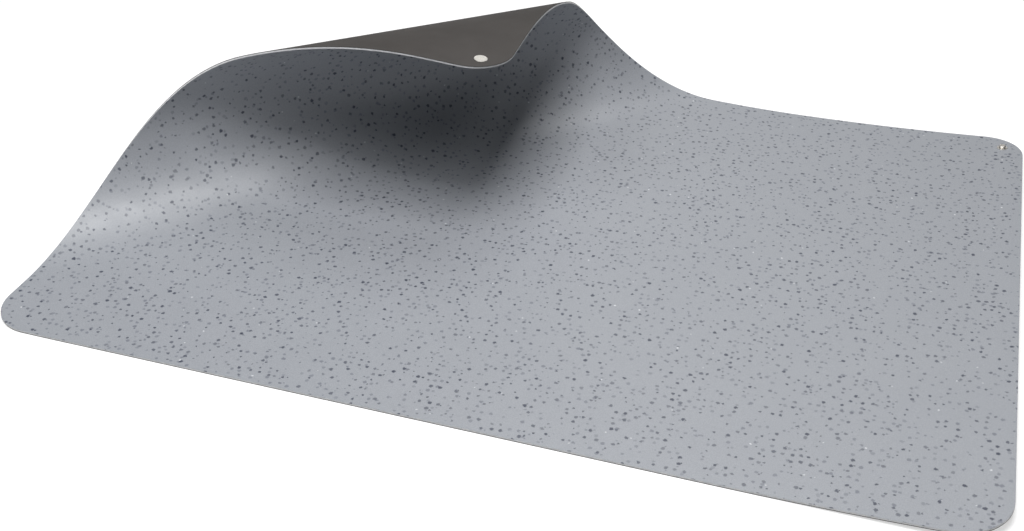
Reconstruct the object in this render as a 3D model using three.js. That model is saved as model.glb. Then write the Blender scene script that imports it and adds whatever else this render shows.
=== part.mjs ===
// A two-layer static-dissipative floor mat with one corner rolled back over itself.
// A grey, speckled wearing layer is bonded to a thin dark conductive base layer, and a snap stud is
// riveted through each end of the far long edge, for a grounding lead.
//
// The sheet is cut flat and then bent, as the real one is. Bend lines cross it, and each one turns
// everything beyond it by a small angle, so the sheet never stretches.
// Millimetres and degrees. +X runs along the long edges, +Y away from the near long edge, and +Z is up.

import * as THREE from 'three';

// The cut sheet.
const matLength = 1200;
const matWidth = 900;
const cornerRadius = 58;
const cornerSegments = 12;
const sheetThickness = 3;
const baseLayerThickness = 0.8;
const bondGap = 0.02; // between the two layers: the wearing layer is what is left of the sheet

// The rolled-back corner. A bend line is placed by its reach: how far from the far-left corner it meets
// the far long edge. Each arc runs from its own reach to that of the next, and turns the sheet evenly.
const curlStart = 885;
const wallStart = 725;
const overStart = 530;
const flapStart = 358;
const curlArcs = [
  { reach: curlStart, turn: 5 },
  { reach: wallStart, turn: 75 },
  { reach: overStart, turn: 73 },
  { reach: flapStart, turn: 33 },
];
const curlHeading = 49.5; // the first bend line's angle to the long edges
const tipHeading = 42.5; // the same at the corner itself
const curlStep = 3; // the most that one bend line turns the sheet
const flatTipMargin = 29; // flat sheet left between the last bend line and the stud's back disc

// The right edge, which still stands up a little from having been rolled. Here the bend lines are
// parallel to the edge, and their reach is measured from it. On the far long edge, some flat sheet lies
// between the two runs of bend lines, because they may not cross.
const flatBetweenBends = 15;
const liftStart = matLength - curlStart - flatBetweenBends;
const lipStart = 60;
const liftArcs = [
  { reach: liftStart, turn: 3 },
  { reach: lipStart, turn: 1.8 },
];
const liftStep = 0.6;
const flatEdgeMargin = 3; // flat sheet left between the last bend line and the stud's back disc

// The snap studs.
const studFromShortEdge = 29;
const studFromLongEdge = 36;
const headRadius = 5;
const neckRadius = 4.3;
const headHeight = 4;
const headRimRadius = 4.2; // the outside of the flat rim on top of the head
const studFlangeRadius = 7.5;
const studFlangeThickness = 0.7;
const flareSeatRadius = 3.1; // the recess in the head where the post is spread
const flareDepth = 0.9;
const barrelRadius = 2;
const flareRadius = 2.9;
const dimpleRadius = 1.1; // the hollow that the riveting tool leaves in the back disc
const dimpleDepth = 1.2;
const backDiscRadius = 8.75;
const boreClearance = 0.1; // the barrel in the stud
const punchClearance = 0.3; // the barrel in the sheet, and the disc in the base layer
const seatGap = 0.05; // metal resting on the sheet, or on metal
const roundSegments = 24;
const samePlace = 1e-6; // points nearer than this are one point

const underside = -sheetThickness / 2; // heights are measured from the middle of the sheet
const topSide = sheetThickness / 2;
const bondBottom = underside + baseLayerThickness;
const bondTop = bondBottom + bondGap;
const radians = THREE.MathUtils.degToRad;

// The middle of a stud. side is -1 for the left end of the far long edge and 1 for the right end.
function studCentre(side) {
  return new THREE.Vector2(side * (matLength / 2 - studFromShortEdge), matWidth / 2 - studFromLongEdge);
}

// The outline of the cut sheet: a rectangle with round corners, counter-clockwise.
function sheetOutline() {
  const x = matLength / 2 - cornerRadius;
  const y = matWidth / 2 - cornerRadius;
  const shape = new THREE.Shape();
  shape.absarc(x, y, cornerRadius, 0, Math.PI / 2);
  shape.absarc(-x, y, cornerRadius, Math.PI / 2, Math.PI);
  shape.absarc(-x, -y, cornerRadius, Math.PI, (3 * Math.PI) / 2);
  shape.absarc(x, -y, cornerRadius, (3 * Math.PI) / 2, 2 * Math.PI);
  const points = shape.getPoints(cornerSegments);
  const closesItself = points[0].distanceTo(points[points.length - 1]) < samePlace;
  return closesItself ? points.slice(0, -1) : points;
}

// The bend lines of a run of arcs, outwards from the flat sheet. lineAt gives the point and the heading
// of the bend line at a reach. The sheet to the left of a line's heading is turned up.
function arcBends(arcs, lastReach, step, lineAt) {
  return arcs.flatMap(({ reach, turn }, i) => {
    const next = i + 1 < arcs.length ? arcs[i + 1].reach : lastReach;
    const count = Math.ceil(turn / step);
    return Array.from({ length: count }, (_, k) => {
      const { point, heading } = lineAt(THREE.MathUtils.lerp(reach, next, (k + 0.5) / count));
      const along = new THREE.Vector2(Math.cos(radians(heading)), Math.sin(radians(heading)));
      return { point, along, turn: radians(turn / count) };
    });
  });
}

// The bend lines of the rolled-back corner.
function curlBends() {
  const tip = radians(tipHeading);
  const discReach = studFromShortEdge + studFromLongEdge / Math.tan(tip) + backDiscRadius / Math.sin(tip);
  return arcBends(curlArcs, discReach + flatTipMargin, curlStep, (reach) => ({
    point: new THREE.Vector2(reach - matLength / 2, matWidth / 2),
    heading: THREE.MathUtils.lerp(tipHeading, curlHeading, reach / curlStart),
  }));
}

// The bend lines of the right edge.
function liftBends() {
  const discReach = studFromShortEdge + backDiscRadius;
  return arcBends(liftArcs, discReach + flatEdgeMargin, liftStep, (reach) => ({
    point: new THREE.Vector2(matLength / 2 - reach, 0),
    heading: -90,
  }));
}

// How far a point lies to the left of a bend line.
function beyond(bend, p) {
  return bend.along.cross(p.clone().sub(bend.point));
}

// Cuts a convex polygon along a bend line. Both parts share the two new corners.
function splitPolygon(polygon, bend) {
  const near = [];
  const far = [];
  polygon.forEach((p, i) => {
    const q = polygon[(i + 1) % polygon.length];
    const a = beyond(bend, p);
    const b = beyond(bend, q);
    (a > 0 ? far : near).push(p);
    if (a > 0 !== b > 0) {
      const cut = p.clone().lerp(q, a / (a - b));
      near.push(cut);
      far.push(cut);
    }
  });
  return [near, far];
}

// The turn about a bend line of the flat sheet, as a matrix.
function turnAbout(bend) {
  const axis = new THREE.Vector3(bend.along.x, bend.along.y, 0);
  const there = new THREE.Matrix4().makeTranslation(bend.point.x, bend.point.y, 0);
  const back = there.clone().invert();
  return there.multiply(new THREE.Matrix4().makeRotationAxis(axis, bend.turn)).multiply(back);
}

// Bends a polygon of the flat sheet into flat panels, each with the matrix that places it.
function foldPanels(polygon, bends) {
  const panels = [];
  let rest = polygon;
  let placement = new THREE.Matrix4();
  for (const bend of bends) {
    const [near, far] = splitPolygon(rest, bend);
    if (near.length > 2) panels.push({ polygon: near, placement });
    placement = placement.clone().multiply(turnAbout(bend));
    rest = far;
    if (rest.length < 3) return panels;
  }
  panels.push({ polygon: rest, placement });
  return panels;
}

// All the panels of the bent sheet: the flat part is the curl's first panel, cut again by the lift.
function sheetPanels() {
  const [flat, ...curl] = foldPanels(sheetOutline(), curlBends());
  return [...foldPanels(flat.polygon, liftBends()), ...curl];
}

// Whether a convex polygon, counter-clockwise, holds a point.
function holds(polygon, p) {
  return polygon.every((a, i) => {
    const b = polygon[(i + 1) % polygon.length];
    return b.clone().sub(a).cross(p.clone().sub(a)) >= 0;
  });
}

// The direction in which thickness is measured at each corner of the panels. Where two panels meet it
// lies between their normals, and is longer than 1, so that both keep their full thickness.
function thicknessDirections(panels) {
  const normals = new Map();
  for (const { polygon, placement } of panels) {
    const normal = new THREE.Vector3(0, 0, 1).transformDirection(placement);
    for (const p of polygon) normals.set(p, [...(normals.get(p) ?? []), normal]);
  }
  const directions = new Map();
  for (const [p, [first, second = first]] of normals) {
    directions.set(p, first.clone().add(second).divideScalar(1 + first.dot(second)));
  }
  return directions;
}

// The corners of a round hole in the flat sheet, clockwise.
function holeOutline(centre, radius) {
  const path = new THREE.Path().absarc(centre.x, centre.y, radius, 0, 2 * Math.PI, true);
  return path.getPoints(roundSegments).slice(0, -1);
}

// One layer of the bent sheet between two heights, with a round hole at each stud.
function layerGeometry(panels, bottom, top, holeRadius) {
  const directions = thicknessDirections(panels);
  const corners = [];
  const triangle = (...points) => points.forEach((p) => corners.push(p.x, p.y, p.z));
  const openSides = new Map();
  const places = new Map();
  for (const { polygon, placement } of panels) {
    const normal = new THREE.Vector3(0, 0, 1).transformDirection(placement);
    const holes = [-1, 1].map(studCentre).filter((c) => holds(polygon, c));
    const outlines = [polygon, ...holes.map((c) => holeOutline(c, holeRadius))];
    const flat = outlines.flat();
    for (const p of flat) {
      if (places.has(p)) continue;
      const middle = new THREE.Vector3(p.x, p.y, 0).applyMatrix4(placement);
      const direction = directions.get(p) ?? normal;
      const at = (height) => middle.clone().addScaledVector(direction, height);
      places.set(p, { low: at(bottom), high: at(top) });
    }
    for (const face of THREE.ShapeUtils.triangulateShape(outlines[0], outlines.slice(1))) {
      const [a, b, c] = face.map((i) => places.get(flat[i]));
      triangle(a.high, b.high, c.high);
      triangle(a.low, c.low, b.low);
    }
    for (const outline of outlines) {
      outline.forEach((p, i) => {
        const q = outline[(i + 1) % outline.length];
        if (openSides.get(q)?.delete(p)) return; // a bend line: the panel beyond it takes over
        if (!openSides.has(p)) openSides.set(p, new Set());
        openSides.get(p).add(q);
      });
    }
  }
  for (const [p, ends] of openSides) {
    for (const q of ends) {
      const a = places.get(p);
      const b = places.get(q);
      triangle(a.low, b.low, b.high);
      triangle(a.low, b.high, a.high);
    }
  }
  const geometry = new THREE.BufferGeometry();
  geometry.setAttribute('position', new THREE.Float32BufferAttribute(corners, 3));
  geometry.computeVertexNormals();
  return geometry;
}

// A solid of revolution about +Z from radius and height pairs.
function turned(profile) {
  const points = profile.map(([r, z]) => new THREE.Vector2(r, z));
  return new THREE.LatheGeometry(points, roundSegments).rotateX(Math.PI / 2);
}

// The male snap that stands on the wearing layer: a flange, a neck and a rounded head with a flat rim.
function studGeometry() {
  const foot = topSide + seatGap;
  const crown = topSide + headHeight;
  const flange = foot + studFlangeThickness;
  const seat = crown - flareDepth;
  const widest = crown - (headRadius - neckRadius) - (headRadius - headRimRadius);
  const bore = barrelRadius + boreClearance;
  return turned([
    [bore, foot],
    [studFlangeRadius, foot],
    [studFlangeRadius, flange],
    [neckRadius, flange],
    [neckRadius, widest - (headRadius - neckRadius)],
    [headRadius, widest],
    [headRadius, crown - (headRadius - headRimRadius)],
    [headRimRadius, crown],
    [flareSeatRadius, crown],
    [flareSeatRadius, seat],
    [bore, seat],
    [bore, foot],
  ]);
}

// The rivet that holds the stud: a back disc let into the base layer, a barrel, and a spread end.
function postGeometry() {
  const discTop = bondTop - seatGap;
  const flareFoot = topSide + headHeight - flareDepth + seatGap;
  const end = flareFoot + (flareDepth - seatGap) / 2;
  return turned([
    [0, underside + dimpleDepth],
    [dimpleRadius, underside + dimpleDepth],
    [dimpleRadius, underside],
    [backDiscRadius, underside],
    [backDiscRadius, discTop],
    [barrelRadius, discTop],
    [barrelRadius, flareFoot],
    [flareRadius, flareFoot],
    [flareRadius, end],
    [0, end],
  ]);
}

const wearingVinyl = new THREE.MeshStandardMaterial({ color: 0xa3a8b0, roughness: 0.55, metalness: 0 });
const conductiveBase = new THREE.MeshStandardMaterial({ color: 0x3a3633, roughness: 0.8, metalness: 0 });
const nickelPlate = new THREE.MeshStandardMaterial({ color: 0xd2cdc4, roughness: 0.3, metalness: 1 });

function namedMesh(name, geometry, material) {
  const mesh = new THREE.Mesh(geometry, material);
  mesh.name = name;
  return mesh;
}

// A stud and its post, placed on the panel that they go through.
function snap(panels, side, label) {
  const centre = studCentre(side);
  const panel = panels.find(({ polygon }) => holds(polygon, centre));
  const group = new THREE.Group();
  group.applyMatrix4(panel.placement);
  const stud = namedMesh(`snap_stud_${label}`, studGeometry(), nickelPlate);
  const post = namedMesh(`snap_post_${label}`, postGeometry(), nickelPlate);
  for (const mesh of [stud, post]) {
    mesh.position.set(centre.x, centre.y, 0);
    group.add(mesh);
  }
  return group;
}

// The whole mat, with its underside on Z = 0 and the middle of its box above the origin.
function floorMat() {
  const panels = sheetPanels();
  const holeThroughTop = barrelRadius + punchClearance;
  const holeThroughBase = backDiscRadius + punchClearance;
  const group = new THREE.Group();
  const top = layerGeometry(panels, bondTop, topSide, holeThroughTop);
  const base = layerGeometry(panels, underside, bondBottom, holeThroughBase);
  group.add(namedMesh('top_layer', top, wearingVinyl));
  group.add(namedMesh('base_layer', base, conductiveBase));
  group.add(snap(panels, -1, 'left'));
  group.add(snap(panels, 1, 'right'));
  const box = new THREE.Box3().setFromObject(group, true);
  const middle = box.getCenter(new THREE.Vector3());
  group.position.set(-middle.x, -middle.y, -box.min.z);
  return group;
}

export default floorMat();
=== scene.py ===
"""A two-layer static-dissipative floor mat with one corner rolled back over itself.

Every piece is made flat, in the mat's own coordinates: X along the long edges, Y away from the near
long edge and Z up from the middle of the sheet. It is then bent about the bend lines of the sheet and
moved to the place of the solids. Metres, and degrees in the fields that say so.
"""

import logging
from dataclasses import dataclass, field
from enum import Enum
from math import ceil, cos, radians, sin, tan
from typing import Callable, Iterable

import bmesh
import bpy
from mathutils import Matrix, Vector


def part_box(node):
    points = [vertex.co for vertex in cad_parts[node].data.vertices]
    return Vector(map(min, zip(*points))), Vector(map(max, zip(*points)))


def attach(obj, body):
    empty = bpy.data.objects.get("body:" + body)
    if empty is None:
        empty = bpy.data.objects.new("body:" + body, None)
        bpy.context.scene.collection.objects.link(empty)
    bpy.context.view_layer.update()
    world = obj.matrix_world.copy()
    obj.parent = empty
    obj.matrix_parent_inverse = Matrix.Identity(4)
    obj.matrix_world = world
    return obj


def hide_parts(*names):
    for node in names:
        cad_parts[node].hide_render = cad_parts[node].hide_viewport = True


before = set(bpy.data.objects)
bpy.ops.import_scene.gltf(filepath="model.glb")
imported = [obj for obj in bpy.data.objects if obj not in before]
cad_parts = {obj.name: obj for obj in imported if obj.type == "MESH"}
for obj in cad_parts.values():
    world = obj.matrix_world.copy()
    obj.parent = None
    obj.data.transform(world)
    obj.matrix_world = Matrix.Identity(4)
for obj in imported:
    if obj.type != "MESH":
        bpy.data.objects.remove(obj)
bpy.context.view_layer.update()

log = logging.getLogger("floor_mat")

BODY = "root"
FLAT_UV = "flat_cut"

Colour = tuple[float, float, float, float]
Place = tuple[float, float, float]
Span = tuple[object, object]
Socket = bpy.types.NodeSocket
Finishes = tuple[bpy.types.Material, ...]


class End(Enum):
    """The two ends of the far long edge, each with a stud. The value is the sign of its X."""

    LEFT = -1
    RIGHT = 1


@dataclass(frozen=True)
class Arc:
    """A stretch of sheet that is bent evenly.

    The reach is where the stretch starts, measured from the corner or edge that it leads to.
    """

    reach: float
    turn_deg: float


@dataclass(frozen=True)
class BendLine:
    """A straight line in the flat sheet. The sheet to its left is turned up about it."""

    point: Vector
    heading: float
    turn: float

    @property
    def along(self) -> Vector:
        """The line's direction."""
        return Vector((cos(self.heading), sin(self.heading), 0.0))

    @property
    def outwards(self) -> Vector:
        """The direction square to the line, towards the sheet that it turns."""
        return Vector((-sin(self.heading), cos(self.heading), 0.0))

    def beyond(self, place: Vector) -> float:
        """How far a place of the flat sheet lies past the line."""
        return (place - self.point).dot(self.outwards)


@dataclass
class MatSheet:
    """The cut sheet and how it lies: a rolled-back corner and a right edge that stands up a little."""

    length: float = 1.2
    width: float = 0.9
    corner_radius: float = 0.058
    corner_segments: int = 20
    thickness: float = 0.003
    base_thickness: float = 0.0008
    bond_gap: float = 0.00002
    stud_from_short_edge: float = 0.029
    stud_from_long_edge: float = 0.036
    barrel_hole_radius: float = 0.0023
    disc_hole_radius: float = 0.00905
    disc_radius: float = 0.00875
    hole_segments: int = 48
    rim_angle_deg: float = 60.0
    rim_round: float = 0.00022
    rim_segments: int = 2
    cut_face_deg: float = 20.0
    curl_arcs: tuple[Arc, ...] = (Arc(0.885, 5), Arc(0.725, 75), Arc(0.53, 73), Arc(0.358, 33))
    curl_heading_deg: float = 49.5
    tip_heading_deg: float = 42.5
    curl_step_deg: float = 1.0
    flat_tip_margin: float = 0.029
    flat_between_bends: float = 0.015
    lift_turn_deg: float = 3.0
    lip: Arc = Arc(0.06, 1.8)
    lift_heading_deg: float = -90.0
    lift_step_deg: float = 0.2
    flat_edge_margin: float = 0.003
    line_tolerance: float = 5e-5
    lines: list[BendLine] = field(init=False)

    def __post_init__(self) -> None:
        """Works out the bend lines, from the flat part outwards in each of the two runs."""
        self.lines = self._curl_lines() + self._lift_lines()

    @property
    def underside(self) -> float:
        """The height of the sheet's lower face."""
        return -self.thickness / 2

    @property
    def top_side(self) -> float:
        """The height of the sheet's upper face."""
        return self.thickness / 2

    @property
    def bond_bottom(self) -> float:
        """The height of the base layer's upper face."""
        return self.underside + self.base_thickness

    @property
    def bond_top(self) -> float:
        """The height of the wearing layer's lower face."""
        return self.bond_bottom + self.bond_gap

    def stud_centre(self, end: End) -> Vector:
        """The middle of a stud in the flat sheet.

        Args:
            end: The end of the far long edge that the stud is at.

        Returns:
            The place, at the middle of the sheet's thickness.
        """
        x = self.length / 2 - self.stud_from_short_edge
        return Vector((end.value * x, self.width / 2 - self.stud_from_long_edge, 0.0))

    def _run(
        self, arcs: tuple[Arc, ...], last: float, step_deg: float, at: Callable[[float], tuple[Vector, float]]
    ) -> list[BendLine]:
        """Lays out the bend lines of a run of arcs.

        Args:
            arcs: The arcs, from the flat part outwards.
            last: The reach at which the last arc ends.
            step_deg: The most that one line turns the sheet.
            at: Gives the point and the heading of the line at a reach.

        Returns:
            The bend lines in the same order.
        """
        lines = []
        ends = [arc.reach for arc in arcs[1:]] + [last]
        for arc, end in zip(arcs, ends):
            count = ceil(arc.turn_deg / step_deg)
            for k in range(count):
                point, heading = at(arc.reach + (end - arc.reach) * (k + 0.5) / count)
                lines.append(BendLine(point, heading, radians(arc.turn_deg / count)))
        return lines

    def _curl_lines(self) -> list[BendLine]:
        """Lays out the bend lines of the rolled-back corner.

        Returns:
            The bend lines, from the flat part to the corner.
        """
        tip = radians(self.tip_heading_deg)
        disc = self.stud_from_short_edge + self.stud_from_long_edge / tan(tip) + self.disc_radius / sin(tip)
        first = self.curl_arcs[0].reach
        gain = self.curl_heading_deg - self.tip_heading_deg

        def at(reach: float) -> tuple[Vector, float]:
            """The line at a reach from the far-left corner along the far long edge."""
            heading = self.tip_heading_deg + gain * reach / first
            return Vector((reach - self.length / 2, self.width / 2, 0.0)), radians(heading)

        return self._run(self.curl_arcs, disc + self.flat_tip_margin, self.curl_step_deg, at)

    def _lift_lines(self) -> list[BendLine]:
        """Lays out the bend lines of the right edge, parallel to it and clear of those of the corner.

        Returns:
            The bend lines, from the flat part to the edge.
        """
        start = self.length - self.curl_arcs[0].reach - self.flat_between_bends
        arcs = (Arc(start, self.lift_turn_deg), self.lip)
        disc = self.stud_from_short_edge + self.disc_radius

        def at(reach: float) -> tuple[Vector, float]:
            """The line at a reach from the right edge."""
            return Vector((self.length / 2 - reach, 0.0, 0.0)), radians(self.lift_heading_deg)

        return self._run(arcs, disc + self.flat_edge_margin, self.lift_step_deg, at)

    def layer(self, low: float, high: float, hole_radius: float) -> bmesh.types.BMesh:
        """Makes one layer of the sheet, scored along the bend lines.

        Args:
            low: The height of its lower face.
            high: The height of its upper face.
            hole_radius: The radius of the hole at each stud.

        Returns:
            The layer, flat. Its cut faces have material number 1, and the others 0.
        """
        bm = self._blank(hole_radius)
        self._score(bm)
        self._thicken(bm, low, high)
        self._round_rims(bm)
        for face in bm.faces:
            face.normal_update()
            face.material_index = int(abs(face.normal.z) < sin(radians(self.cut_face_deg)))
        return bm

    def _blank(self, hole_radius: float) -> bmesh.types.BMesh:
        """Cuts the sheet's outline and the hole at each stud.

        Args:
            hole_radius: The radius of the holes.

        Returns:
            The sheet without its thickness.
        """
        bm = bmesh.new()
        bmesh.ops.create_grid(bm, x_segments=1, y_segments=1, size=0.5)
        bmesh.ops.scale(bm, vec=(self.length, self.width, 1.0), verts=bm.verts)
        bmesh.ops.bevel(
            bm, geom=bm.verts[:], offset=self.corner_radius, offset_type="OFFSET", affect="VERTICES",
            segments=self.corner_segments, profile=0.5, material=-1,
        )
        bmesh.ops.delete(bm, geom=bm.faces[:], context="FACES_ONLY")
        for end in End:
            place = Matrix.Translation(self.stud_centre(end))
            bmesh.ops.create_circle(bm, segments=self.hole_segments, radius=hole_radius, matrix=place)
        bmesh.ops.triangle_fill(bm, use_beauty=True, use_dissolve=False, edges=bm.edges[:])
        return bm

    def _score(self, bm: bmesh.types.BMesh) -> None:
        """Divides the faces along the bend lines.

        Args:
            bm: The sheet without its thickness.
        """
        for line in self.lines:
            everything = bm.verts[:] + bm.edges[:] + bm.faces[:]
            bmesh.ops.bisect_plane(
                bm, geom=everything, dist=self.line_tolerance, plane_co=line.point, plane_no=line.outwards
            )

    def _thicken(self, bm: bmesh.types.BMesh, low: float, high: float) -> None:
        """Gives the sheet its thickness.

        Args:
            bm: The sheet without its thickness, at height 0.
            low: The height of the layer's lower face.
            high: The height of its upper face.
        """
        bmesh.ops.translate(bm, vec=(0.0, 0.0, low), verts=bm.verts)
        grown = bmesh.ops.extrude_face_region(bm, geom=bm.faces[:], use_keep_orig=True)["geom"]
        upper = [part for part in grown if isinstance(part, bmesh.types.BMVert)]
        bmesh.ops.translate(bm, vec=(0.0, 0.0, high - low), verts=upper)
        bmesh.ops.recalc_face_normals(bm, faces=bm.faces)

    def _round_rims(self, bm: bmesh.types.BMesh) -> None:
        """Rounds the edges of the outline and of the holes.

        Args:
            bm: The layer.
        """
        sharp = radians(self.rim_angle_deg)
        rims = [edge for edge in bm.edges if edge.is_manifold and edge.calc_face_angle() > sharp]
        bmesh.ops.bevel(
            bm, geom=rims, offset=self.rim_round, affect="EDGES", segments=self.rim_segments, profile=0.5,
            material=-1,
        )

    def bend(self, bm: bmesh.types.BMesh) -> None:
        """Bends flat geometry as the sheet is bent, and keeps its flat places in a UV map.

        Args:
            bm: What is bent, in the flat sheet's coordinates.
        """
        flat = {vert: vert.co.copy() for vert in bm.verts}
        uv = bm.loops.layers.uv.new(FLAT_UV)
        for face in bm.faces:
            for loop in face.loops:
                loop[uv].uv = flat[loop.vert].xy
        for line in reversed(self.lines):
            past = {vert: line.beyond(place) for vert, place in flat.items()}
            beyond = [vert for vert, depth in past.items() if depth > self.line_tolerance]
            on_line = [vert for vert, depth in past.items() if abs(depth) <= self.line_tolerance]
            for verts, turn in ((beyond, line.turn), (on_line, line.turn / 2)):
                spin = Matrix.Rotation(turn, 3, line.along)
                bmesh.ops.rotate(bm, cent=line.point, matrix=spin, verts=verts)


@dataclass
class Snap:
    """A snap stud and the post that is riveted through the sheet and holds it."""

    sheet: MatSheet
    head_radius: float = 0.005
    neck_radius: float = 0.0043
    head_height: float = 0.004
    head_rim_radius: float = 0.0042
    flange_radius: float = 0.0075
    flange_thickness: float = 0.0007
    flare_seat_radius: float = 0.0031
    flare_depth: float = 0.0009
    barrel_radius: float = 0.002
    flare_radius: float = 0.0029
    dimple_radius: float = 0.0011
    dimple_depth: float = 0.0012
    bore_clearance: float = 0.0001
    seat_gap: float = 0.00005
    corner_angle_deg: float = 30.0
    corner_round: float = 0.00018
    corner_segments: int = 3
    turns: int = 64
    merge_distance: float = 1e-7

    def stud(self) -> bmesh.types.BMesh:
        """Makes the male snap on the wearing layer: a flange, a neck and a head with a flat rim.

        Returns:
            The stud, on the axis through the origin.
        """
        foot = self.sheet.top_side + self.seat_gap
        crown = self.sheet.top_side + self.head_height
        flange = foot + self.flange_thickness
        seat = crown - self.flare_depth
        neck_step = self.head_radius - self.neck_radius
        rim_step = self.head_radius - self.head_rim_radius
        widest = crown - neck_step - rim_step
        bore = self.barrel_radius + self.bore_clearance
        return self._turned(
            [
                (bore, foot),
                (self.flange_radius, foot),
                (self.flange_radius, flange),
                (self.neck_radius, flange),
                (self.neck_radius, widest - neck_step),
                (self.head_radius, widest),
                (self.head_radius, crown - rim_step),
                (self.head_rim_radius, crown),
                (self.flare_seat_radius, crown),
                (self.flare_seat_radius, seat),
                (bore, seat),
            ],
            closed=True,
        )

    def post(self) -> bmesh.types.BMesh:
        """Makes the rivet: a back disc let into the base layer, a barrel and a spread end.

        Returns:
            The post, on the axis through the origin.
        """
        low = self.sheet.underside
        disc_top = self.sheet.bond_top - self.seat_gap
        flare_foot = self.sheet.top_side + self.head_height - self.flare_depth + self.seat_gap
        end = flare_foot + (self.flare_depth - self.seat_gap) / 2
        return self._turned(
            [
                (0.0, low + self.dimple_depth),
                (self.dimple_radius, low + self.dimple_depth),
                (self.dimple_radius, low),
                (self.sheet.disc_radius, low),
                (self.sheet.disc_radius, disc_top),
                (self.barrel_radius, disc_top),
                (self.barrel_radius, flare_foot),
                (self.flare_radius, flare_foot),
                (self.flare_radius, end),
                (0.0, end),
            ],
            closed=False,
        )

    def _turned(self, profile: list[tuple[float, float]], closed: bool) -> bmesh.types.BMesh:
        """Turns a profile about Z and rounds its corners.

        Args:
            profile: Radius and height pairs.
            closed: Whether the profile closes on itself, and not on the axis.

        Returns:
            The turned solid, on the axis through the origin.
        """
        bm = bmesh.new()
        verts = [bm.verts.new((radius, 0.0, height)) for radius, height in profile]
        after = verts[1:] + verts[:1] if closed else verts[1:]
        edges = [bm.edges.new(pair) for pair in zip(verts, after)]
        bmesh.ops.spin(
            bm, geom=verts + edges, cent=(0.0, 0.0, 0.0), axis=(0.0, 0.0, 1.0), angle=radians(360),
            steps=self.turns, use_merge=True,
        )
        bmesh.ops.remove_doubles(bm, verts=bm.verts, dist=self.merge_distance)
        bmesh.ops.recalc_face_normals(bm, faces=bm.faces)
        sharp = radians(self.corner_angle_deg)
        corners = [edge for edge in bm.edges if edge.is_manifold and edge.calc_face_angle() > sharp]
        bmesh.ops.bevel(
            bm, geom=corners, offset=self.corner_round, affect="EDGES", segments=self.corner_segments,
            profile=0.5, material=-1,
        )
        return bm


class NodeSheet:
    """A material's node tree, with short ways to add to it."""

    def __init__(self, name: str) -> None:
        """Makes the material and keeps its surface shader.

        Args:
            name: The material's name.
        """
        self.material = bpy.data.materials.new(name)
        self.material.use_nodes = True
        self.tree = self.material.node_tree
        self.surface = self.tree.nodes["Principled BSDF"]

    def add(self, kind: str, inputs: dict | None = None, **settings: object) -> bpy.types.Node:
        """Adds a node.

        Args:
            kind: The node's type, without the ShaderNode before it.
            inputs: Values or sockets for its inputs, by name or number.
            settings: Values for its own settings.

        Returns:
            The new node.
        """
        node = self.tree.nodes.new("ShaderNode" + kind)
        for key, value in settings.items():
            setattr(node, key, value)
        for key, value in (inputs or {}).items():
            self.put(node.inputs[key], value)
        return node

    def put(self, socket: Socket, value: object) -> None:
        """Links a socket to an input, or sets the input's value.

        Args:
            socket: The input.
            value: The value, or the socket that gives it.
        """
        if isinstance(value, bpy.types.NodeSocket):
            self.tree.links.new(value, socket)
        else:
            socket.default_value = value

    def dress(self, name: str, value: object) -> None:
        """Links a socket to an input of the surface shader, or sets that input's value."""
        self.put(self.surface.inputs[name], value)

    def maths(self, operation: str, *terms: object) -> Socket:
        """The result of a sum on values or sockets."""
        return self.add("Math", dict(enumerate(terms)), operation=operation).outputs[0]

    def vector(self, operation: str, first: object, second: object) -> Socket:
        """The result of a sum on two vectors, or of a vector and a scale."""
        other = "Scale" if operation == "SCALE" else 1
        return self.add("VectorMath", {0: first, other: second}, operation=operation).outputs[0]

    def blend(self, factor: object, first: object, second: object) -> Socket:
        """Mixes two colours.

        Args:
            factor: The share of the second.
            first: The first colour.
            second: The second colour.

        Returns:
            The mixed colour.
        """
        node = self.add("Mix", {"Factor": factor}, data_type="RGBA")
        colours = [socket for socket in node.inputs if socket.type == "RGBA"]
        self.put(colours[0], first)
        self.put(colours[1], second)
        return next(socket for socket in node.outputs if socket.type == "RGBA")

    def ramp(self, value: object, before: Span, after: Span) -> Socket:
        """Eases a value from one range to another.

        Args:
            value: The value.
            before: The range that it comes from.
            after: The range that it goes to.

        Returns:
            The eased value, held inside the second range.
        """
        names = ("From Min", "From Max", "To Min", "To Max")
        inputs = {"Value": value, **dict(zip(names, before + after))}
        return self.add("MapRange", inputs, interpolation_type="SMOOTHSTEP").outputs["Result"]

    def object_place(self) -> Socket:
        """The place on the piece, in metres."""
        return self.add("TexCoord").outputs["Object"]


@dataclass(frozen=True)
class Grain:
    """A noise pattern: its spots to the metre, its finer layers and how strong they are."""

    scale: float
    detail: float
    roughness: float = 0.5

    def over(self, nodes: NodeSheet, place: Socket) -> bpy.types.Node:
        """Lays the pattern over a place."""
        inputs = {"Vector": place, "Scale": self.scale, "Detail": self.detail, "Roughness": self.roughness}
        return nodes.add("TexNoise", inputs)


@dataclass(frozen=True)
class Relief:
    """How strongly, and how deep, a pattern shows as bumps."""

    strength: float
    depth: float

    def over(self, nodes: NodeSheet, pattern: bpy.types.Node, under: Socket | None = None) -> Socket:
        """The surface direction with the bumps in it.

        Args:
            nodes: The material's nodes.
            pattern: The noise whose value is the height.
            under: Bumps that these come on top of.

        Returns:
            The direction, for the shader or for more bumps.
        """
        inputs = {"Height": pattern.outputs["Fac"], "Strength": self.strength, "Distance": self.depth}
        if under is not None:
            inputs["Normal"] = under
        return nodes.add("Bump", inputs).outputs[0]


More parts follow.
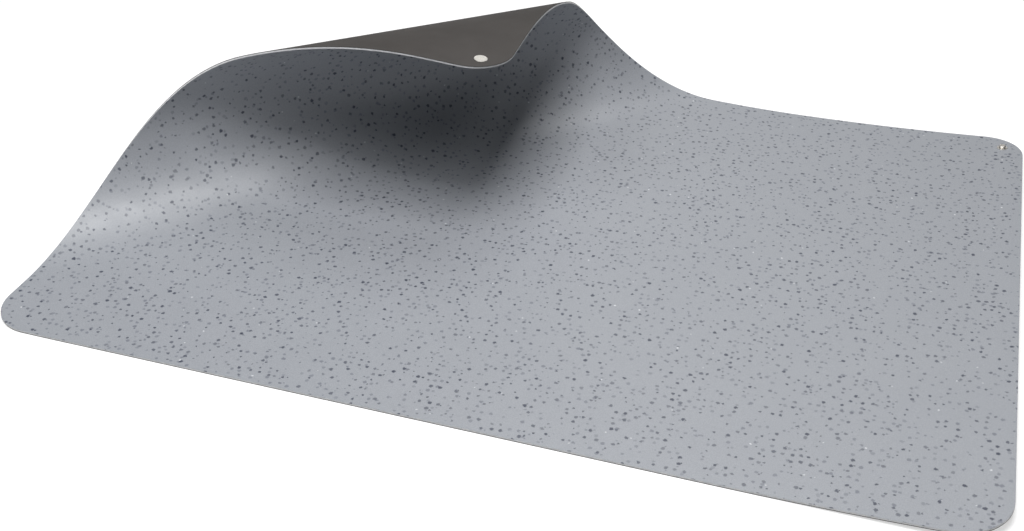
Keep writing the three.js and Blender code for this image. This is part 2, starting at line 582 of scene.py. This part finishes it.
@dataclass(frozen=True)
class Flecks:
    """One kind of chip scattered in the wearing layer.

    The layer is divided into cells, and the share is that of the cells with a chip. Sizes are shares of
    the radius, and the seed keeps one kind's cells apart from another's.
    """

    colour: Colour
    cell: float
    share: float
    radius: float
    strength: float
    seed: float
    seed_slant: float = 0.7
    smallest: float = 0.55
    size_spread: float = 0.9
    solid_core: float = 0.55
    faintest: float = 0.5
    ripples: float = 0.9
    raggedness: float = 1.5

    def over(self, nodes: NodeSheet, place: Socket, under: object) -> Socket:
        """Lays the chips over a colour.

        Args:
            nodes: The material's nodes.
            place: The place in the flat sheet.
            under: The colour under them.

        Returns:
            The colour with the chips in it.
        """
        shifted = nodes.vector("ADD", place, (self.seed, self.seed * self.seed_slant, 0.0))
        ripple = Grain(self.ripples / self.radius, 1.0).over(nodes, shifted).outputs["Color"]
        centred = nodes.vector("SUBTRACT", ripple, (0.5, 0.5, 0.5))
        pushed = nodes.vector("SCALE", centred, self.radius * self.raggedness)
        cells = nodes.add(
            "TexVoronoi",
            {"Vector": nodes.vector("ADD", shifted, pushed), "Scale": 1.0 / self.cell, "Randomness": 1.0},
            voronoi_dimensions="2D",
        )
        chance = nodes.add("SeparateColor", {"Color": cells.outputs["Color"]}).outputs
        reach = self.radius / self.cell
        size = nodes.maths("MULTIPLY_ADD", chance["Red"], reach * self.size_spread, reach * self.smallest)
        core = nodes.maths("MULTIPLY", size, self.solid_core)
        spot = nodes.ramp(cells.outputs["Distance"], (core, size), (1.0, 0.0))
        kept = nodes.maths("LESS_THAN", chance["Green"], self.share)
        faint = self.strength * self.faintest
        depth = nodes.maths("MULTIPLY_ADD", chance["Blue"], self.strength - faint, faint)
        amount = nodes.maths("MULTIPLY", nodes.maths("MULTIPLY", spot, kept), depth)
        return nodes.blend(amount, under, self.colour)


@dataclass(frozen=True)
class SpeckledVinyl:
    """The satin grey of the wearing layer, with chips all through it."""

    colour: Colour = (0.283, 0.296, 0.318, 1.0)
    cloud_colour: Colour = (0.264, 0.277, 0.302, 1.0)
    cloud: Grain = Grain(7.0, 3.0, 0.6)
    grit: Grain = Grain(900.0, 2.0, 0.7)
    grit_shade: Span = (0.9, 1.08)
    scuff: Grain = Grain(26.0, 5.0, 0.65)
    roughness: Span = (0.38, 0.49)
    middle: Span = (0.3, 0.7)
    leather: Grain = Grain(420.0, 3.0, 0.6)
    leather_relief: Relief = Relief(0.22, 0.0004)
    wave: Grain = Grain(9.0, 1.0)
    wave_relief: Relief = Relief(0.5, 0.002)
    flecks: tuple[Flecks, ...] = (
        Flecks((0.13, 0.14, 0.17, 1.0), cell=0.0092, share=0.38, radius=0.0022, strength=0.8, seed=3.7),
        Flecks((0.036, 0.042, 0.066, 1.0), cell=0.0102, share=0.44, radius=0.0022, strength=0.95, seed=11.3),
        Flecks((0.6, 0.61, 0.64, 1.0), cell=0.03, share=0.16, radius=0.0012, strength=0.9, seed=23.9),
    )

    def build(self) -> bpy.types.Material:
        """Makes the material.

        Returns:
            The material, for the faces of a piece.
        """
        nodes = NodeSheet("speckled_vinyl")
        flat = nodes.add("UVMap", uv_map=FLAT_UV).outputs["UV"]
        place = nodes.object_place()
        clouds = self.cloud.over(nodes, place).outputs["Fac"]
        shade = nodes.ramp(self.grit.over(nodes, place).outputs["Fac"], self.middle, self.grit_shade)
        colour = nodes.vector("SCALE", nodes.blend(clouds, self.colour, self.cloud_colour), shade)
        for kind in self.flecks:
            colour = kind.over(nodes, flat, colour)
        nodes.dress("Base Color", colour)
        scuffs = self.scuff.over(nodes, place).outputs["Fac"]
        nodes.dress("Roughness", nodes.ramp(scuffs, self.middle, self.roughness))
        fine = self.leather_relief.over(nodes, self.leather.over(nodes, place))
        nodes.dress("Normal", self.wave_relief.over(nodes, self.wave.over(nodes, place), fine))
        return nodes.material


@dataclass(frozen=True)
class CutVinylPaintedHighlight:
    """The cut faces of the wearing layer: their pale grey is painted highlight along the cut edge, and their
    darker drag marks are real marks of the cut.
    """

    # The pale grey is painted highlight: it is lighter than the vinyl's own grey, so that the cut edge shows
    # as a bright line.
    colour: Colour = (0.5, 0.505, 0.51, 1.0)
    drag_colour: Colour = (0.4, 0.405, 0.415, 1.0)
    drag: Grain = Grain(180.0, 4.0, 0.6)
    middle: Span = (0.35, 0.65)
    relief: Relief = Relief(0.3, 0.0003)
    roughness: float = 0.6

    def build(self) -> bpy.types.Material:
        """Makes the material.

        Returns:
            The material, for the faces of a piece.
        """
        nodes = NodeSheet("cut_vinyl_painted_highlight")
        drags = self.drag.over(nodes, nodes.object_place())
        marks = nodes.ramp(drags.outputs["Fac"], self.middle, (0.0, 1.0))
        nodes.dress("Base Color", nodes.blend(marks, self.colour, self.drag_colour))
        nodes.dress("Roughness", self.roughness)
        nodes.dress("Normal", self.relief.over(nodes, drags))
        return nodes.material


@dataclass(frozen=True)
class MatteBase:
    """The dull warm dark grey of the conductive base layer, a little worn in patches."""

    colour: Colour = (0.03, 0.0262, 0.0235, 1.0)
    worn_colour: Colour = (0.038, 0.0338, 0.031, 1.0)
    patch: Grain = Grain(14.0, 6.0, 0.62)
    middle: Span = (0.35, 0.7)
    tooth: Grain = Grain(650.0, 4.0, 0.7)
    tooth_relief: Relief = Relief(0.4, 0.0004)
    roughness: float = 0.78

    def build(self) -> bpy.types.Material:
        """Makes the material.

        Returns:
            The material, for the faces of a piece.
        """
        nodes = NodeSheet("matte_base")
        place = nodes.object_place()
        wear = nodes.ramp(self.patch.over(nodes, place).outputs["Fac"], self.middle, (0.0, 1.0))
        nodes.dress("Base Color", nodes.blend(wear, self.colour, self.worn_colour))
        nodes.dress("Roughness", self.roughness)
        nodes.dress("Normal", self.tooth_relief.over(nodes, self.tooth.over(nodes, place)))
        return nodes.material


@dataclass(frozen=True)
class NickelPlate:
    """The satin nickel plate of the studs and posts, with fine handling marks."""

    colour: Colour = (0.74, 0.715, 0.67, 1.0)
    marks: Grain = Grain(700.0, 4.0, 0.6)
    middle: Span = (0.35, 0.7)
    roughness: Span = (0.34, 0.5)
    relief: Relief = Relief(0.05, 0.0001)

    def build(self) -> bpy.types.Material:
        """Makes the material.

        Returns:
            The material, for the faces of a piece.
        """
        nodes = NodeSheet("nickel_plate")
        marks = self.marks.over(nodes, nodes.object_place())
        nodes.dress("Base Color", self.colour)
        nodes.dress("Metallic", 1.0)
        nodes.dress("Roughness", nodes.ramp(marks.outputs["Fac"], self.middle, self.roughness))
        nodes.dress("Normal", self.relief.over(nodes, marks))
        return nodes.material


@dataclass(frozen=True)
class Piece:
    """A piece of the mat: its mesh, the solid that it stands for, and its finish.

    The finishes are in the order of the material numbers of its faces. The slot is the record's.
    """

    name: str
    node: str
    slot: str
    bm: bmesh.types.BMesh
    finishes: Finishes


@dataclass
class FloorMat:
    """The whole mat: its two layers and its two snaps."""

    sheet: MatSheet
    shade_angle_deg: float = 12.0

    def build(self) -> None:
        """Makes every piece, bends it, moves it to its place and dresses it."""
        base, wearing = self._layers()
        pieces = [base, wearing, *self._snaps()]
        for piece in pieces:
            self.sheet.bend(piece.bm)
        shift = self._seat(base.bm)
        for piece in pieces:
            bmesh.ops.translate(piece.bm, vec=shift, verts=piece.bm.verts)
            self._finish(piece)

    def _layers(self) -> list[Piece]:
        """Makes the two layers. The base layer's cut edge looks like its faces.

        Returns:
            The base layer and the wearing layer, flat.
        """
        sheet = self.sheet
        base = sheet.layer(sheet.underside, sheet.bond_bottom, sheet.disc_hole_radius)
        wearing = sheet.layer(sheet.bond_top, sheet.top_side, sheet.barrel_hole_radius)
        dark = MatteBase().build()
        speckled = SpeckledVinyl().build()
        # The cut faces get a pale grey that is painted highlight along the cut edge.
        cut = CutVinylPaintedHighlight().build()
        return [
            Piece("conductive_base", "base_layer", "base_layer", base, (dark, dark)),
            Piece("wearing_layer", "top_layer", "wearing_layer", wearing, (speckled, cut)),
        ]

    def _snaps(self) -> list[Piece]:
        """Makes the studs and posts.

        Returns:
            The four pieces, where they stand on the flat sheet.
        """
        snap = Snap(self.sheet)
        metal = NickelPlate().build()
        pieces = []
        for end in End:
            side = end.name.lower()
            for part, bm in (("stud", snap.stud()), ("post", snap.post())):
                bmesh.ops.translate(bm, vec=self.sheet.stud_centre(end), verts=bm.verts)
                pieces.append(Piece(f"{part}_{side}", f"snap_{part}_{side}", "snap_metal", bm, (metal,)))
        return pieces

    def _seat(self, base: bmesh.types.BMesh) -> Vector:
        """Works out the move that brings the base layer to the place of the solid one.

        Args:
            base: The bent base layer.

        Returns:
            The move, the same for every piece.
        """
        low = Vector([min(vert.co[axis] for vert in base.verts) for axis in range(3)])
        high = Vector([max(vert.co[axis] for vert in base.verts) for axis in range(3)])
        solid_low, solid_high = (Vector(corner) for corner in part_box("base_layer"))
        shift = (solid_low + solid_high - low - high) / 2
        shift.z = solid_low.z - low.z
        return shift

    def _finish(self, piece: Piece) -> None:
        """Turns a piece's mesh into an object of the model, dressed and riding on the mat's body.

        Args:
            piece: The piece, bent and in its place.
        """
        bm = piece.bm
        for face in bm.faces:
            face.smooth = True
        for edge in bm.edges:
            edge.smooth = edge.calc_face_angle(0.0) < radians(self.shade_angle_deg)
        mesh = bpy.data.meshes.new(piece.name)
        bm.to_mesh(mesh)
        bm.free()
        for finish in piece.finishes:
            mesh.materials.append(finish)
        made = bpy.data.objects.new(piece.name, mesh)
        bpy.context.scene.collection.objects.link(made)
        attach(made, BODY)
        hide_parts(piece.node)
        log.info("%s: %d faces, for %s", piece.name, len(mesh.polygons), piece.node)


@dataclass(frozen=True)
class SoftLight:
    """A square soft light that points at a place on the mat."""

    name: str
    place: Place
    aim: Place
    size: float
    watts: float

    def build(self) -> None:
        """Hangs the light."""
        data = bpy.data.lights.new(self.name, "AREA")
        data.size = self.size
        data.energy = self.watts
        lamp = bpy.data.objects.new(self.name, data)
        lamp.location = self.place
        lamp.rotation_euler = (Vector(self.aim) - Vector(self.place)).to_track_quat("-Z", "Y").to_euler()
        bpy.context.scene.collection.objects.link(lamp)


@dataclass
class Studio:
    """The pale floor, which glows as a light table does, the soft lights and the camera."""

    white: Colour = (1.0, 1.0, 1.0, 1.0)
    floor_side: float = 90.0
    floor_colour: Colour = (0.46, 0.46, 0.46, 1.0)
    floor_roughness: float = 0.7
    floor_glow: float = 0.58
    world_strength: float = 0.005
    view_transform: str = "Standard"
    look: str = "None"
    lights: tuple[SoftLight, ...] = (
        SoftLight("overhead", (0.05, -0.6, 2.6), (0.0, 0.0, 0.0), size=1.3, watts=64.0),
        SoftLight("behind", (0.05, 1.2, 2.6), (0.0, 0.0, 0.0), size=1.4, watts=27.0),
        SoftLight("front_left", (-1.3, -1.7, 2.3), (-0.3, 0.0, 0.0), size=1.2, watts=32.0),
        SoftLight("side", (1.35, -1.3, 2.4), (-0.4, 0.0, 0.1), size=0.7, watts=6.0),
        SoftLight("backdrop", (-0.4, 3.2, 1.5), (-0.3, 1.4, 0.0), size=2.2, watts=10.0),
    )
    photo_width: int = 1024
    focal_pixels: float = 1286.8
    sensor_mm: float = 36.0
    clip_start: float = 0.01
    camera_place: Place = (0.4393, -1.4594, 0.9045)
    camera_yaw_deg: float = 19.142
    camera_pitch_deg: float = 32.458
    camera_roll_deg: float = -0.291

    def build(self) -> None:
        """Sets everything up around the mat."""
        self._floor()
        self._world()
        self._camera()
        for light in self.lights:
            light.build()
        settings = bpy.context.scene.view_settings
        settings.view_transform = self.view_transform
        settings.look = self.look

    def _floor(self) -> None:
        """Lays the floor just under the mat."""
        bm = bmesh.new()
        bmesh.ops.create_grid(bm, x_segments=1, y_segments=1, size=self.floor_side / 2)
        mesh = bpy.data.meshes.new("floor")
        bm.to_mesh(mesh)
        bm.free()
        nodes = NodeSheet("pale_floor")
        nodes.dress("Base Color", self.floor_colour)
        nodes.dress("Roughness", self.floor_roughness)
        nodes.dress("Emission Color", self.white)
        nodes.dress("Emission Strength", self.floor_glow)
        mesh.materials.append(nodes.material)
        floor = bpy.data.objects.new("floor", mesh)
        bpy.context.scene.collection.objects.link(floor)

    def _world(self) -> None:
        """Gives the room its faint even light."""
        world = bpy.data.worlds.new("room")
        world.use_nodes = True
        background = world.node_tree.nodes["Background"]
        background.inputs["Color"].default_value = self.white
        background.inputs["Strength"].default_value = self.world_strength
        bpy.context.scene.world = world

    def _camera(self) -> None:
        """Puts the camera where the photo was taken from."""
        data = bpy.data.cameras.new("camera")
        data.sensor_width = self.sensor_mm
        data.lens = self.focal_pixels / self.photo_width * self.sensor_mm
        data.clip_start = self.clip_start
        camera = bpy.data.objects.new("camera", data)
        turn = Matrix.Rotation(radians(self.camera_yaw_deg), 4, "Z")
        tilt = Matrix.Rotation(radians(90 - self.camera_pitch_deg), 4, "X")
        roll = Matrix.Rotation(radians(self.camera_roll_deg), 4, "Z")
        camera.matrix_world = Matrix.Translation(self.camera_place) @ turn @ tilt @ roll
        bpy.context.scene.collection.objects.link(camera)
        bpy.context.scene.camera = camera


def main() -> None:
    """Builds the studio and the mat."""
    logging.basicConfig(level=logging.INFO, format="%(message)s")
    Studio().build()
    FloorMat(MatSheet()).build()


if __name__ == "__main__":
    main()
